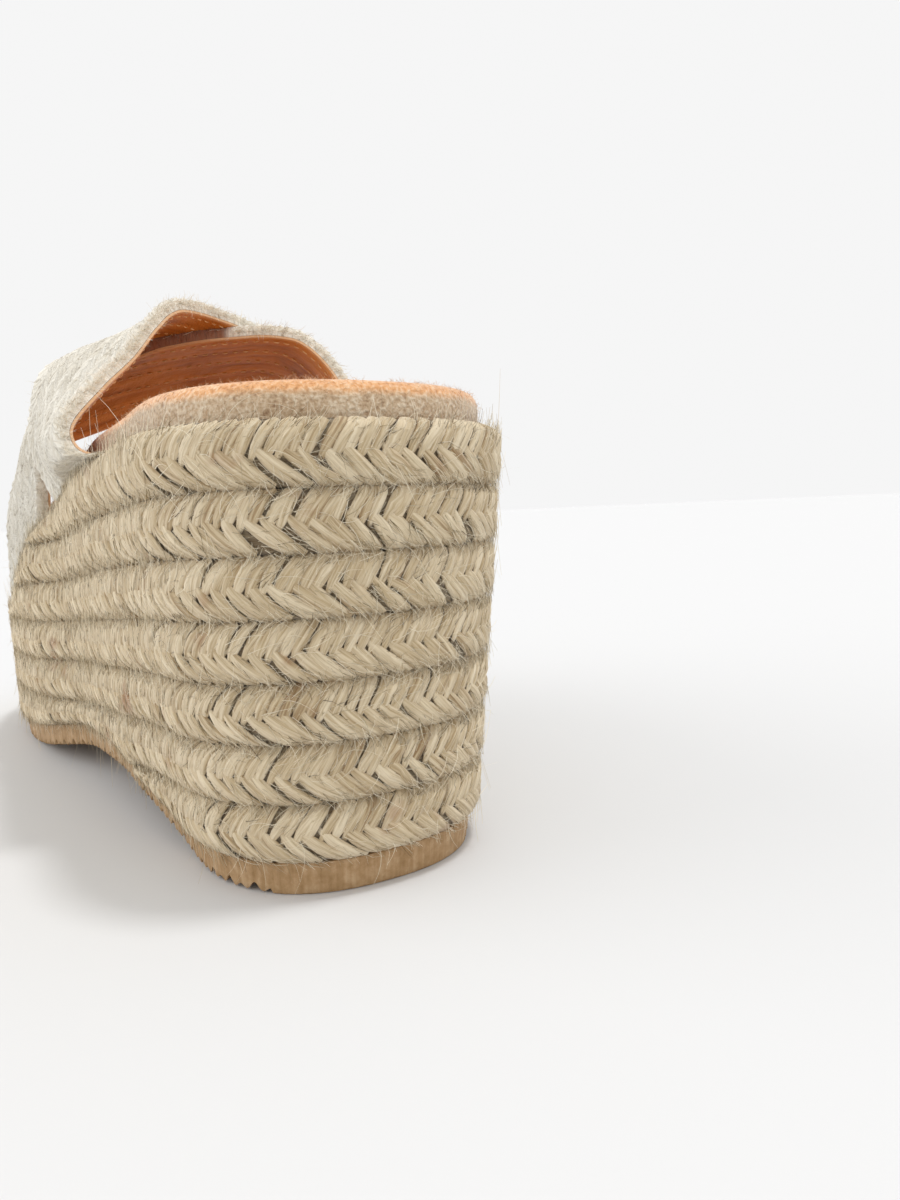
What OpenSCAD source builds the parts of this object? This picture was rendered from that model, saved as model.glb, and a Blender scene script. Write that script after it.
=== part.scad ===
// Wedge sandal for a left foot: a mule with a braided jute wedge, a padded footbed and two crossed straps.
// The toe points along +Y, the inner side of the foot is +X, and the sandal stands on z = 0.

/* [Sole] */
// Length of the sole from the back of the heel to the tip of the toe
sole_l = 245; // [232:1:258]
// Height of the jute wedge at the heel, outsole included
heel_h = 80.5; // [75:0.5:86]
// Rows of jute braid at the heel
heel_rows = 7; // [7:1:7]
// Rows of jute braid under the ball of the foot
ball_rows = 3; // [3:1:3]
// Depth of the jute braid behind the wall
braid_d = 6; // [5:0.5:8]
// How far each braid bulges out between its two seams
braid_bulge = 1.9; // [1:0.1:2.5]
// How far the foot of the heel stands inside its top edge
heel_taper = 7.7; // [5:0.1:9]
// Thickness of the rubber outsole
outsole_t = 6; // [5:0.5:7]
// Step from the face of the lowest braid in to the outsole
outsole_inset = 1.6; // [1:0.1:3]
// Height of the waist of the outsole above the floor
arch_h = 10.5; // [6:0.5:12]
// Rise of the toe tip above the floor
toe_spring = 3; // [1:0.5:5]
// Distance from one tread groove to the next
groove_pitch = 6; // [5:0.5:9]
// Width of a tread groove
groove_w = 2; // [1.5:0.1:2.5]
// Depth of a tread groove
groove_d = 1.8; // [1:0.1:2.5]

/* [Footbed] */
// Step from the face of the top braid in to the footbed
footbed_inset = 4.4; // [4.2:0.1:5.5]
// Thickness of the insole board
board_t = 1.5; // [1.2:0.1:2]
// Thickness of the footbed foam
foam_t = 2.8; // [2:0.1:4]
// Thickness of the suede cover
cover_t = 0.8; // [0.6:0.1:1]
// Width of the steel shank
shank_w = 14; // [10:1:16]
// Radius of the shank rivets
rivet_r = 2; // [1.5:0.1:2.5]

/* [Straps] */
// Height of the inside of the crossed straps above the jute
strap_h = 36.5; // [34:0.5:40]
// Back edge of the top strap's rear foot, from the back of the heel
top_strap_rear = 52; // [51:1:55]
// Width of the top strap at its rear foot
top_strap_w = 60; // [56:1:62]
// Back edge of the under strap's rear foot, from the back of the heel
under_strap_rear = 66; // [63:1:68]
// Width of the under strap at its rear foot
under_strap_w = 49; // [46:1:52]
// Back edge of both front feet, from the back of the heel
strap_front = 128; // [125:1:130]
// Width of both straps at their front feet
strap_front_w = 41; // [40:1:44]
// Thickness of the leather lining
lining_t = 0.8; // [0.7:0.1:1]
// Thickness of the reinforcing tape
tape_t = 0.3; // [0.3:0.1:0.4]
// Thickness of the woven jute
weave_t = 1.4; // [1.2:0.1:1.6]
// Width of the lining turned in under the insole board
margin_w = 10; // [8:1:12]
// Distance from one row of stitching to the next
stitch_gap = 9; // [8:0.1:10]

/* [Hidden] */

jute_color = "#C9BDA0";
gap = 0.12;                 // clearance between glued layers
strap_gap = 0.4;            // clearance under and between the straps
rungs = 36;                 // stations along the sole
pitch = (heel_h - outsole_t) / heel_rows;
ball_h = outsole_t + ball_rows * pitch;
row_drop = pitch;           // each seam comes down by one row from heel to ball
least_row = 1.6;            // a braid pinched thinner than this ends
k = sole_l / 245;           // stretch of the lengthwise stations

// Plan of the wedge face, as [distance from heel, x]
outer_side = [[0, -35.5], [37, -36], [74, -39], [108, -38.5], [143, -45], [178, -47.5], [245, -46.5]];
inner_side = [[0, 35.5], [36, 36], [68, 37], [97, 36.5], [124, 37], [150, 43], [180, 47.5], [245, 46.5]];
heel_centre = 37 * k;       // where the heel's round back begins
heel_power = 2.35;          // squareness of the heel
toe_centre = 172 * k;       // where the toe's round begins
toe_x = 7;                  // the toe tip lies towards the inner side
toe_power = 2.3;            // squareness of the toe

// Share of the drop from heel to ball that is left, along the top of the wedge
top_line = [[0, 1], [37, 1], [52, 0.965], [85, 0.89], [115, 0.77], [135, 0.6], [155, 0.34], [176, 0.1],
            [200, 0], [245, 0]];
// Share of the arch height, along the bottom
arch_line = [[0, 0], [37, 0], [52, 0.32], [69, 0.72], [88, 1], [110, 0.97], [132, 0.62], [152, 0.2],
             [170, 0], [245, 0]];
// Section of the space under the straps, from the outer to the inner side, as shares: the straps stand up
// to a ridge behind the instep and spread to broad shoulders over the ball of the foot
instep_x = [-1, -1.06, -0.84, -0.575, -0.38, -0.19, 0.03, 0.35, 0.6, 0.8, 0.87, 0.965, 1];
instep_z = [0, 0.09, 0.335, 0.58, 0.79, 0.955, 0.995, 1, 0.94, 0.68, 0.4, 0.18, 0];
ball_x = [-1, -1, -0.93, -0.75, -0.52, -0.27, 0, 0.27, 0.52, 0.75, 0.93, 1, 1];
ball_z = [0, 0.42, 0.8, 0.97, 1.01, 1.03, 1.03, 1.02, 1, 0.95, 0.8, 0.42, 0];
section_y = [70, 130];      // where the section starts to change, and where it is done

layer_gap = 0.18;           // clearance between the layers of a strap
stitch_t = 0.35;            // height of a stitch on the lining
stitch_w = 0.8;             // width of a stitch
strap_t = lining_t + tape_t + weave_t + 2 * layer_gap;
strap_lift = strap_t + layer_gap + stitch_t + 0.2; // rise of the top strap over the under strap
margin_layer = lining_t + 2 * gap;
board_z = margin_layer + gap;
foam_z = board_z + board_t + gap;
cover_z = foam_z + foam_t + gap;

// --- curves and surfaces ---
function step(t) = let (u = min(max(t, 0), 1)) u * u * (3 - 2 * u);
function chord(p, i) = (p[i + 1][1] - p[i][1]) / (p[i + 1][0] - p[i][0]);
function tangent(p, i) = i == 0 || i == len(p) - 1 ? 0
    : let (a = chord(p, i - 1), b = chord(p, i)) a * b <= 0 ? 0 : 2 * a * b / (a + b);
function span(p, x, i = 0) = i == len(p) - 2 || x < p[i + 1][0] ? i : span(p, x, i + 1);
// Smooth curve through points [x, value] that never overshoots them
function curve(p, x) = let (u = min(max(x, p[0][0]), p[len(p) - 1][0]), i = span(p, u),
    w = p[i + 1][0] - p[i][0], t = (u - p[i][0]) / w)
    p[i][1] * (1 - step(t)) + p[i + 1][1] * step(t)
    + w * (tangent(p, i) * (t ^ 3 - 2 * t ^ 2 + t) + tangent(p, i + 1) * (t ^ 3 - t ^ 2));

function spring(y) = toe_spring * max(0, (y / k - 205) / 40) ^ 2;
function top_z(y) = ball_h + (heel_h - ball_h) * curve(top_line, y / k) + spring(y);
function floor_z(x, y) = arch_h * curve(arch_line, y / k) * (0.9 + 0.13 * x / 37) + spring(y);
function rubber_z(x, y) = floor_z(x, y) + outsole_t;
function drop(y, side) = row_drop * (side < 0 ? step((y / k - 4) / 173) : step((y / k - 91) / 107));
function seam(row, y, side) = outsole_t + (heel_rows - row) * pitch - drop(y, side) + spring(y);

// x of the wedge face, a given distance in from it
function edge(y, inset, side) =
    let (full = curve(side < 0 ? outer_side : inner_side, y / k) - side * inset,
         back = (heel_centre - y) / (heel_centre - inset),
         front = (y - toe_centre) / (sole_l - inset - toe_centre),
         mid = y < sole_l / 2 ? 0 : toe_x,
         round = back > 0 ? max(0, 1 - back ^ heel_power) ^ (1 / heel_power)
               : front > 0 ? max(0, 1 - front ^ toe_power) ^ (1 / toe_power) : 1)
    mid + (full - mid) * round;
function taper(y, z) = (1.5 + (heel_taper - 1.5) * (1 - step((y / k - 55) / 85))) * max(0, 1 - z / heel_h);

// Point on the wedge wall at station s of the sole; height is a function of x, y and side
function wall(s, side, inset, height) =
    let (y0 = inset + (sole_l - 2 * inset) * s, x0 = edge(y0, inset, side),
         d = inset + taper(y0, height(x0, y0, side)), y = d + (sole_l - 2 * d) * s, x = edge(y, d, side))
    [x, y, height(x, y, side)];
// Closed ring of wall points: up the outer side and back along the inner side
even = [for (i = [0 : rungs]) (1 - cos(180 * i / rungs)) / 2];
function ring(inset, height, s = even) = let (n = len(s) - 1)
    [for (i = [0 : 2 * n - 1]) i <= n ? wall(s[i], -1, inset, height) : wall(s[2 * n - i], 1, inset, height)];
function above(z) = function (x, y, side) top_z(y) + z;

// --- solids ---
function flat(lists) = [for (l = lists) each l];
function bands(n, m, last) = flat([for (r = [0 : last]) [for (i = [0 : m - 1])
    [r * m + i, r * m + (i + 1) % m, ((r + 1) % n) * m + (i + 1) % m, ((r + 1) % n) * m + i]]]);
// Quads cut into triangles, with the cuts of a ring's second half the mirror of the first half's
function split(quads, m) = flat([for (q = quads) q[0] % m < m / 2
    ? [[q[0], q[1], q[2]], [q[0], q[2], q[3]]] : [[q[0], q[1], q[3]], [q[1], q[2], q[3]]]]);
// A ring of m points filled like a ladder, from point 0 across to the last point and on
function rung(m, j) = j % 2 == 0 ? j / 2 : m - (j + 1) / 2;
function ladder(m, base) = [for (j = [0 : m - 3]) [base, base, base]
    + [rung(m, j), rung(m, j + 1), rung(m, j + 2)] * (j % 2 == 0 ? 1 : 0)
    + [rung(m, j + 1), rung(m, j), rung(m, j + 2)] * (j % 2)];
function turned(faces) = [for (f = faces) [f[2], f[1], f[0]]];

// Rings stacked from a closed bottom to a closed top
module stacked(rings) {
    m = len(rings[0]);
    n = len(rings);
    polyhedron(flat(rings),
               concat(split(bands(n, m, n - 2), m), ladder(m, 0), turned(ladder(m, (n - 1) * m))));
}
// Rings that close on themselves, like a tyre
module looped(rings) let (m = len(rings[0]), n = len(rings))
    polyhedron(flat(rings), split(bands(n, m, n - 1), m));
// Sections swept one after the other, with flat ends
module swept(sections) {
    m = len(sections[0]);
    n = len(sections);
    polyhedron(flat(sections), concat(turned(concat(split(bands(n, m, n - 2), m), ladder(m, 0))),
                                      ladder(m, (n - 1) * m)));
}

// --- jute braid ---
function snap(z, low, high) = z < low + least_row ? low : z > high - least_row ? high : z;
function braid_low(row) = function (x, y, side) snap(seam(row, y, side), rubber_z(x, y), top_z(y)) + gap;
function braid_high(row) = function (x, y, side) snap(seam(row - 1, y, side), rubber_z(x, y), top_z(y)) - gap;
function braid_mix(row, t) = function (x, y, side)
    braid_low(row)(x, y, side) * (1 - t) + braid_high(row)(x, y, side) * t;
braid_face = [[braid_bulge, 0], [braid_bulge * 0.25, 0.2], [0, 0.5], [braid_bulge * 0.25, 0.8],
              [braid_bulge, 1],
              [braid_d, 1], [braid_d, 0]];
function braid_rings(row) = [for (f = braid_face) ring(f[0], braid_mix(row, f[1]))];
function braid_section(rings, i) = [for (r = rings) r[(i + 2 * rungs) % (2 * rungs)]];
function tall(section) = section[4][2] - section[0][2] > least_row / 2;
// Steps that a braid runs from the heel along one side, way = 1 outer or -1 inner
function reach(rings, way, i = 0) =
    i < rungs && tall(braid_section(rings, way * (i + 1))) ? reach(rings, way, i + 1) : i;

module braid(row) color(jute_color) {
    rings = braid_rings(row);
    outer = reach(rings, 1);
    inner = reach(rings, -1);
    if (outer == rungs) looped(rings);
    else swept([for (i = [-inner : outer]) braid_section(rings, i)]);
}

// --- sole and footbed ---
groove_n = floor((sole_l - 22) / groove_pitch);
groove_at = [for (i = [0 : groove_n - 1]) 11 + i * groove_pitch];
tread = [for (y = concat([0, 0.3, 1.2, 3, 6, 9], flat([for (g = groove_at)
    [g - groove_w / 2, g - groove_w / 2 + 0.4, g + groove_w / 2 - 0.4, g + groove_w / 2]]),
    [sole_l - 8, sole_l - 4, sole_l - 1.5, sole_l - 0.4, sole_l])) y / sole_l];
function cut(y) = min([for (g = groove_at) abs(y - g)]) < groove_w / 2 - 0.2 ? groove_d : 0;

module outsole() color("#BFA27A") stacked([
    ring(outsole_inset, function (x, y, side) floor_z(x, y) + cut(y), tread),
    ring(outsole_inset, function (x, y, side) rubber_z(x, y) - gap, tread)]);

module wedge_core() color("#D9CDB4") stacked([
    ring(braid_d + 2 * gap, function (x, y, side) rubber_z(x, y) + gap),
    ring(braid_d + 2 * gap, above(-gap))]);

shank_y = [50 * k, 150 * k];
function shank_section(y, w) = let (low = top_z(y) + gap, high = top_z(y) + margin_layer - gap)
    [[-w / 2, y, low], [-w / 2, y, high], [w / 2, y, high], [w / 2, y, low]];
rivet_y = [60 * k, 140 * k];
module at_rivets() for (y = rivet_y) translate([0, y, top_z(y)])
    rotate([atan((top_z(y + 2) - top_z(y - 2)) / 4), 0, 0]) children();

module shank() color("#8D9196") difference() {
    swept([for (i = [0 : 14]) shank_section(shank_y[0] + (shank_y[1] - shank_y[0]) * i / 14, shank_w)]);
    at_rivets() cylinder(r = rivet_r, h = 12, center = true, $fn = 32);
}

module insole_board() color("#B79B73") difference() {
    stacked([ring(footbed_inset + 1, above(board_z)), ring(footbed_inset + 1, above(board_z + board_t))]);
    at_rivets() cylinder(r = rivet_r, h = 16, center = true, $fn = 32);
}

module shank_rivets() color("#B8B4AA") at_rivets() translate([0, 0, gap])
    cylinder(r = rivet_r, h = board_z + board_t - 4 * gap, $fn = 32);

// Cork filler between the turned-in strap linings, with a slot for the shank
function filler_inset(s) = let (y = 245 * s)
    footbed_inset + 1 + (margin_w + 1) * step((y - 34) / 8) * (1 - step((y - 182) / 8));
function filler_ring(z) = [for (i = [0 : 2 * rungs - 1]) let (side = i <= rungs ? -1 : 1,
    s = even[i <= rungs ? i : 2 * rungs - i]) wall(s, side, filler_inset(s), above(z))];
module bottom_filler() color("#A88B63") difference() {
    stacked([filler_ring(gap), filler_ring(margin_layer - gap)]);
    translate([-shank_w / 2 - 0.6, shank_y[0] - 1, 0])
        cube([shank_w + 1.2, shank_y[1] - shank_y[0] + 2, 2 * heel_h]);
}

module footbed_foam() color("#E5DCC6") stacked([
    ring(footbed_inset + 1, above(foam_z)),
    ring(footbed_inset + 1, above(foam_z + foam_t * 0.6)),
    ring(footbed_inset + 2, above(foam_z + foam_t))]);

module footbed_cover() color("#D2A070") let (i = footbed_inset, z = cover_z, t = cover_t) stacked([
    ring(i + 1.9, above(z)), ring(i + t + 0.1, above(z - 1.3)), ring(i + t + 0.1, above(board_z)),
    ring(i, above(board_z)), ring(i, above(z - 1)),
    ring(i + 0.5, above(z + t - 0.6)), ring(i + 2, above(z + t))]);

// --- straps ---
// A strap runs from its rear foot (side = -1 outer, 1 inner) across to the far side; u goes from 0 at the
// outer side to 1 at the inner side, and v from 0 at the strap's back edge to 1 at its front edge.
strap_steps = 26;
strap_cells = 6;
strap_bow = 4;              // how far the back edge of a strap bows forward over the foot
function strap_rear(side) = side < 0 ? top_strap_rear : under_strap_rear;
function strap_w(side) = side < 0 ? top_strap_w : under_strap_w;
function strap_y(side, u, v) = let (along = side < 0 ? u : 1 - u, rear = strap_rear(side), w = strap_w(side))
    k * (rear + (strap_front - rear) * along + strap_bow * sin(180 * u) * (1 - v)
         + (w + (strap_front_w - w) * along) * v);
function knots(values) = [for (i = [0 : len(values) - 1]) [i / (len(values) - 1), values[i]]];
function section(instep, ball, u, y) =
    let (t = step((y / k - section_y[0]) / (section_y[1] - section_y[0])))
    curve(knots(instep), u) * (1 - t) + curve(knots(ball), u) * t;
function strap_bed(side, u, v) =
    let (y = strap_y(side, u, v), z = top_z(y), d = footbed_inset - 0.8 + taper(y, z),
         a = edge(y, d, -1), b = edge(y, d, 1))
    [(a + b) / 2 + section(instep_x, ball_x, u, y) * (b - a) / 2, y,
     z + strap_gap + strap_h * section(instep_z, ball_z, u, y)];
function unit(a) = a / norm(a);
function strap_normal(side, u, v) = let (e = 0.01)
    unit(cross(strap_bed(side, min(u + e, 1), v) - strap_bed(side, max(u - e, 0), v),
               strap_bed(side, u, v + e) - strap_bed(side, u, v - e)));
// The top strap rides over the under strap, and comes back down to the jute at its two feet
function lift(side, u) = side > 0 ? 0 : strap_lift * step(u / 0.1) * step((1 - u) / 0.1);
function strap_point(side, u, v, out) =
    let (p = strap_bed(side, u, v) + strap_normal(side, u, v) * (lift(side, u) + out))
    [p[0], p[1], max(p[2], top_z(p[1]) + strap_gap)];
// The same point on the flat cells of the strap, so that thin layers stay clear of each other
function strap_cell(side, u, v, out) =
    let (n = strap_cells, i = min(max(floor(v * n), 0), n - 1), t = v * n - i)
    strap_point(side, u, i / n, out) * (1 - t) + strap_point(side, u, (i + 1) / n, out) * t;
function strap_section(side, u, low, high, trim = 0) = let (n = strap_cells,
    across = [for (i = [0 : n]) min(max(i / n, trim), 1 - trim)])
    concat([for (i = [0 : n]) strap_cell(side, u, across[i], low)],
           [for (i = [n : -1 : 0]) strap_cell(side, u, across[i], high)]);
// Lining turned in under the insole board at a foot; depth 0 is the fold
function margin_section(side, u, depth) = let (n = strap_cells, s = u < 0.5 ? -1 : 1)
    concat([for (i = [0 : n]) let (p = strap_bed(side, u, i / n))
                [p[0] - s * depth, p[1], top_z(p[1]) + margin_layer - gap]],
           [for (i = [n : -1 : 0]) let (p = strap_bed(side, u, i / n))
               [p[0] - s * (depth == 0 ? -lining_t : depth), p[1], top_z(p[1]) + gap]]);
function steps(a, b) = [for (i = [0 : strap_steps]) a + (b - a) * i / strap_steps];

module strap_layer(side, low, high, trim) swept([for (u = steps(0, 1))
    strap_section(side, u, low, high, trim / strap_w(side))]);
module strap_lining(side) color("#A0622F") swept(concat(
    [margin_section(side, 0, margin_w), margin_section(side, 0, 0)],
    [for (i = [1 : strap_steps - 1]) strap_section(side, i / strap_steps, 0, lining_t)],
    [margin_section(side, 1, 0), margin_section(side, 1, margin_w)]));
module strap_tape(side) color("#E8E2D4")
    strap_layer(side, lining_t + layer_gap, lining_t + layer_gap + tape_t, 3);
module strap_jute(side) color("#D5CDBC") strap_layer(side, strap_t - weave_t, strap_t, 0);

function stitch_rows(side) = floor((strap_w(side) - 6) / stitch_gap) + 1;
module strap_stitching(side) color("#D9B58C") for (r = [0 : stitch_rows(side) - 1])
    let (v = (3 + r * stitch_gap) / strap_w(side), w = stitch_w / strap_w(side) / 2)
    swept([for (i = [2 : strap_steps - 2]) let (u = i / strap_steps, low = -layer_gap - stitch_t)
        [strap_cell(side, u, v - w, low), strap_cell(side, u, v + w, low),
         strap_cell(side, u, v + w, -layer_gap), strap_cell(side, u, v - w, -layer_gap)]]);

// The origin is under the middle of the sandal's box
face = ring(0, function (x, y, side) top_z(y) - pitch / 2);
strap_skin = [for (side = [-1, 1], u = steps(0, 1), v = [0 : 0.1 : 1]) strap_point(side, u, v, strap_t)];
reach_x = [for (p = concat(face, strap_skin)) p[0]];
reach_y = [for (p = face) p[1]];
module placed()
    translate([-(min(reach_x) + max(reach_x)) / 2, -(min(reach_y) + max(reach_y)) / 2, 0]) children();

placed() outsole();
placed() wedge_core();
placed() braid(1);  // jute_braid_1
placed() braid(2);  // jute_braid_2
placed() braid(3);  // jute_braid_3
placed() braid(4);  // jute_braid_4
placed() braid(5);  // jute_braid_5
placed() braid(6);  // jute_braid_6
placed() braid(7);  // jute_braid_7
placed() shank();
placed() bottom_filler();
placed() insole_board();
placed() shank_rivets();
placed() footbed_foam();
placed() footbed_cover();
placed() strap_lining(1);  // under_strap_lining
placed() strap_tape(1);  // under_strap_tape
placed() strap_jute(1);  // under_strap_jute
placed() strap_stitching(1);  // under_strap_stitching
placed() strap_lining(-1);  // top_strap_lining
placed() strap_tape(-1);  // top_strap_tape
placed() strap_jute(-1);  // top_strap_jute
placed() strap_stitching(-1);  // top_strap_stitching
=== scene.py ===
import math

import bpy
import numpy as np
from mathutils import Matrix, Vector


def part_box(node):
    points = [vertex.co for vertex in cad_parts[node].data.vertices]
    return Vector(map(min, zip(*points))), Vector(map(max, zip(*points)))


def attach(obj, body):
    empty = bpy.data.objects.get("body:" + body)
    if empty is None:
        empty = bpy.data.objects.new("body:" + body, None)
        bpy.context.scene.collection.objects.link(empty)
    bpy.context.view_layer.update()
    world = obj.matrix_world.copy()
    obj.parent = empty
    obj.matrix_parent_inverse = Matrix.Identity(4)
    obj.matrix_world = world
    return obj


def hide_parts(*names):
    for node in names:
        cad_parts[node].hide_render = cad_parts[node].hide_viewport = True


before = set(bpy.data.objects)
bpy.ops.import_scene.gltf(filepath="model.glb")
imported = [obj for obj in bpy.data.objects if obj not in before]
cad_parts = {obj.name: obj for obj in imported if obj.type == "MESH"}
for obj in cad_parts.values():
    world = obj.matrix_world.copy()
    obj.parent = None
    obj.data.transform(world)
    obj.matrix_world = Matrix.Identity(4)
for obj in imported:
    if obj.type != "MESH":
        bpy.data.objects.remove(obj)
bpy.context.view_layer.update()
bpy.ops.object.select_all(action="DESELECT")
print("frame loaded")

# Everything is laid out in millimetres, heel at y = 0, and moved into the frame when a mesh is made.
sole = {
    "length": 245, "heelHeight": 80.5, "heelRows": 7, "ballRows": 3, "outsole": 6, "outsoleInset": 1.6,
    "taper": 7.7, "leastTaper": 1.5, "taperRun": [55, 85],      # how far the wall leans in at its foot
    "arch": 10.5, "toeSpring": 3, "springFrom": 205,
    "outerDrop": [4, 173], "innerDrop": [91, 107],  # start and length of the rows' fall towards the ball
    "leastRow": 1.6, "braidDepth": 6, "bulge": 1.9,
    "heelCentre": 37, "heelPower": 2.35, "toeCentre": 172, "toePower": 2.3, "toeX": 7,
    "outer": [[0, -35.5], [37, -36], [74, -39], [108, -38.5], [143, -45], [178, -47.5], [245, -46.5]],
    "inner": [[0, 35.5], [36, 36], [68, 37], [97, 36.5], [124, 37], [150, 43], [180, 47.5], [245, 46.5]],
    "top": [[0, 1], [37, 1], [52, 0.965], [85, 0.89], [115, 0.77], [135, 0.6], [155, 0.34], [176, 0.1],
            [200, 0], [245, 0]],
    "waist": [[0, 0], [37, 0], [52, 0.32], [69, 0.72], [88, 1], [110, 0.97], [132, 0.62], [152, 0.2],
              [170, 0], [245, 0]],
}
rowPitch = (sole["heelHeight"] - sole["outsole"]) / sole["heelRows"]
ballHeight = sole["outsole"] + sole["ballRows"] * rowPitch
shankLow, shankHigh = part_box("shank")
shankStart = 50     # the shank begins 50 mm from the back of the heel, on the sandal's centre line
frameShift = np.array([(shankLow.x + shankHigh.x) * 500, shankLow.y * 1000 - shankStart, 0.0])
rng = np.random.default_rng(38)


# the curves and surfaces of the sandal, the same as its structure has
def smooth(t):
    t = np.clip(t, 0, 1)
    return t * t * (3 - 2 * t)


def curve(points, x):
    # monotone curve through points [x, value]
    p = np.array(points, float)
    x = np.clip(x, p[0, 0], p[-1, 0])
    chord = np.diff(p[:, 1]) / np.diff(p[:, 0])
    tangent = np.zeros(len(p))
    for i in range(1, len(p) - 1):
        if chord[i - 1] * chord[i] > 0:
            tangent[i] = 2 * chord[i - 1] * chord[i] / (chord[i - 1] + chord[i])
    i = np.clip(np.searchsorted(p[:, 0], x, side="right") - 1, 0, len(p) - 2)
    w = p[i + 1, 0] - p[i, 0]
    t = (x - p[i, 0]) / w
    ends = p[i, 1] * (1 - smooth(t)) + p[i + 1, 1] * smooth(t)
    return ends + w * (tangent[i] * (t**3 - 2 * t**2 + t) + tangent[i + 1] * (t**3 - t**2))


def spring(y):
    start = sole["springFrom"]
    return sole["toeSpring"] * np.maximum(0, (y - start) / (sole["length"] - start)) ** 2


def topZ(y):
    return ballHeight + (sole["heelHeight"] - ballHeight) * curve(sole["top"], y) + spring(y)


def floorZ(x, y):
    tilt = 0.9 + 0.13 * x / 37      # the waist is hollowed a little more on its inner side
    return sole["arch"] * curve(sole["waist"], y) * tilt + spring(y)


def rubberZ(x, y):
    return floorZ(x, y) + sole["outsole"]


def seamZ(row, y, side):
    outer, inner = sole["outerDrop"], sole["innerDrop"]
    drop = rowPitch * np.where(side < 0, smooth((y - outer[0]) / outer[1]), smooth((y - inner[0]) / inner[1]))
    return sole["outsole"] + (sole["heelRows"] - row) * rowPitch - drop + spring(y)


def edgeX(y, inset, side):
    full = np.where(side < 0, curve(sole["outer"], y), curve(sole["inner"], y)) - side * inset
    back = (sole["heelCentre"] - y) / (sole["heelCentre"] - inset)
    front = (y - sole["toeCentre"]) / (sole["length"] - inset - sole["toeCentre"])
    middle = np.where(y < sole["length"] / 2, 0, sole["toeX"])
    heel = np.clip(1 - np.clip(back, 0, 1) ** sole["heelPower"], 0, 1) ** (1 / sole["heelPower"])
    toe = np.clip(1 - np.clip(front, 0, 1) ** sole["toePower"], 0, 1) ** (1 / sole["toePower"])
    return middle + (full - middle) * np.where(back > 0, heel, np.where(front > 0, toe, 1))


def taperIn(y, z):
    start, run = sole["taperRun"]
    heel = (sole["taper"] - sole["leastTaper"]) * (1 - smooth((y - start) / run))
    return (sole["leastTaper"] + heel) * np.maximum(0, 1 - z / sole["heelHeight"])


def wallPoint(q, inset, height):
    # q runs from -1 at the toe along the outer side to 0 at the heel, and on to 1 along the inner side
    side = np.where(q < 0, -1.0, 1.0)
    share = np.abs(q)
    y = inset + (sole["length"] - 2 * inset) * share
    d = inset + taperIn(y, height(edgeX(y, inset, side), y, side))
    y = d + (sole["length"] - 2 * d) * share
    x = edgeX(y, d, side)
    return np.stack([x, y, height(x, y, side)], -1)


def evenPath(height, spacing, inset=0.0):
    # stations q a given distance apart along the wall, with their outward directions in plan
    a = np.linspace(-1, 1, 6001)        # fine enough to measure the wall's length on
    fine = np.sign(a) * (1 - np.cos(np.pi * a)) / 2
    p = wallPoint(fine, inset, height)[:, :2]
    length = np.concatenate([[0], np.cumsum(np.linalg.norm(np.diff(p, axis=0), axis=1))])
    count = max(8, int(round(length[-1] / spacing)))
    along = np.linspace(0, length[-1], count + 1)
    q = np.interp(along, length, fine)
    tangent = np.gradient(p, length + 1e-9 * np.arange(len(length)), axis=0)
    kernel = np.ones(25) / 25
    outX = np.interp(along, length, np.convolve(-tangent[:, 1], kernel, "same"))
    outY = np.interp(along, length, np.convolve(tangent[:, 0], kernel, "same"))
    size = np.hypot(outX, outY) + 1e-9
    return {"along": along, "q": q, "out": np.stack([-outX / size, -outY / size], -1)}


# meshes are collected as tubes and fibres, and made into one piece at the end
def newShape():
    return {"verts": [], "faces": [], "uv": [], "tone": [], "depth": [], "underShade": [], "slots": [], "count": 0}


def tubeFaces(rows, cols, ring):
    faces = []
    for r in range(rows if ring else rows - 1):
        n = (r + 1) % rows
        faces += [[r * cols + c, r * cols + (c + 1) % cols, n * cols + (c + 1) % cols, n * cols + c]
                  for c in range(cols)]
    if ring:
        return faces
    for base, turn in ((0, 1), ((rows - 1) * cols, -1)):    # the ends are filled like a ladder
        for i in range((cols - 1) // 2):
            quad = [base + i, base + cols - 1 - i, base + cols - 2 - i, base + i + 1]
            quad = list(dict.fromkeys(quad))
            faces.append(quad[::turn])
    return faces


def addTubes(shape, points, uv=None, tone=0.5, depth=1.0, slot=0, ring=False, underShade=0.0):
    # points is [tube, row, column, xyz]; columns close on themselves, rows do when ring is set
    number, rows, cols, _ = points.shape
    faces = np.array([f + [-1] * (4 - len(f)) for f in tubeFaces(rows, cols, ring)])
    size = rows * cols
    first = points[0].reshape(-1, 3)
    solid = first - first.mean(0)
    volume = 0      # its sign tells which way the faces point
    for a, b, c, d in faces:
        volume += np.dot(solid[a], np.cross(solid[b], solid[c]))
        if d >= 0:
            volume += np.dot(solid[a], np.cross(solid[c], solid[d]))
    for i in range(number):
        base = shape["count"] + i * size
        for f in faces:
            loop = [int(base + v) for v in f if v >= 0]
            shape["faces"].append(loop if volume > 0 else loop[::-1])
    shape["verts"].append(points.reshape(-1, 3))
    uv = np.zeros(2) if uv is None else uv
    shape["uv"].append(np.broadcast_to(uv, (number, rows, cols, 2)).reshape(-1, 2))
    tone = np.reshape(tone, (-1, 1, 1)) if np.ndim(tone) == 1 else tone      # one for each tube
    for key, value in (("tone", tone), ("depth", depth), ("underShade", underShade)):
        shape[key].append(np.broadcast_to(value, (number, rows, cols)).reshape(-1))
    shape["slots"] += [slot] * (number * len(faces))
    shape["count"] += number * size


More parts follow.
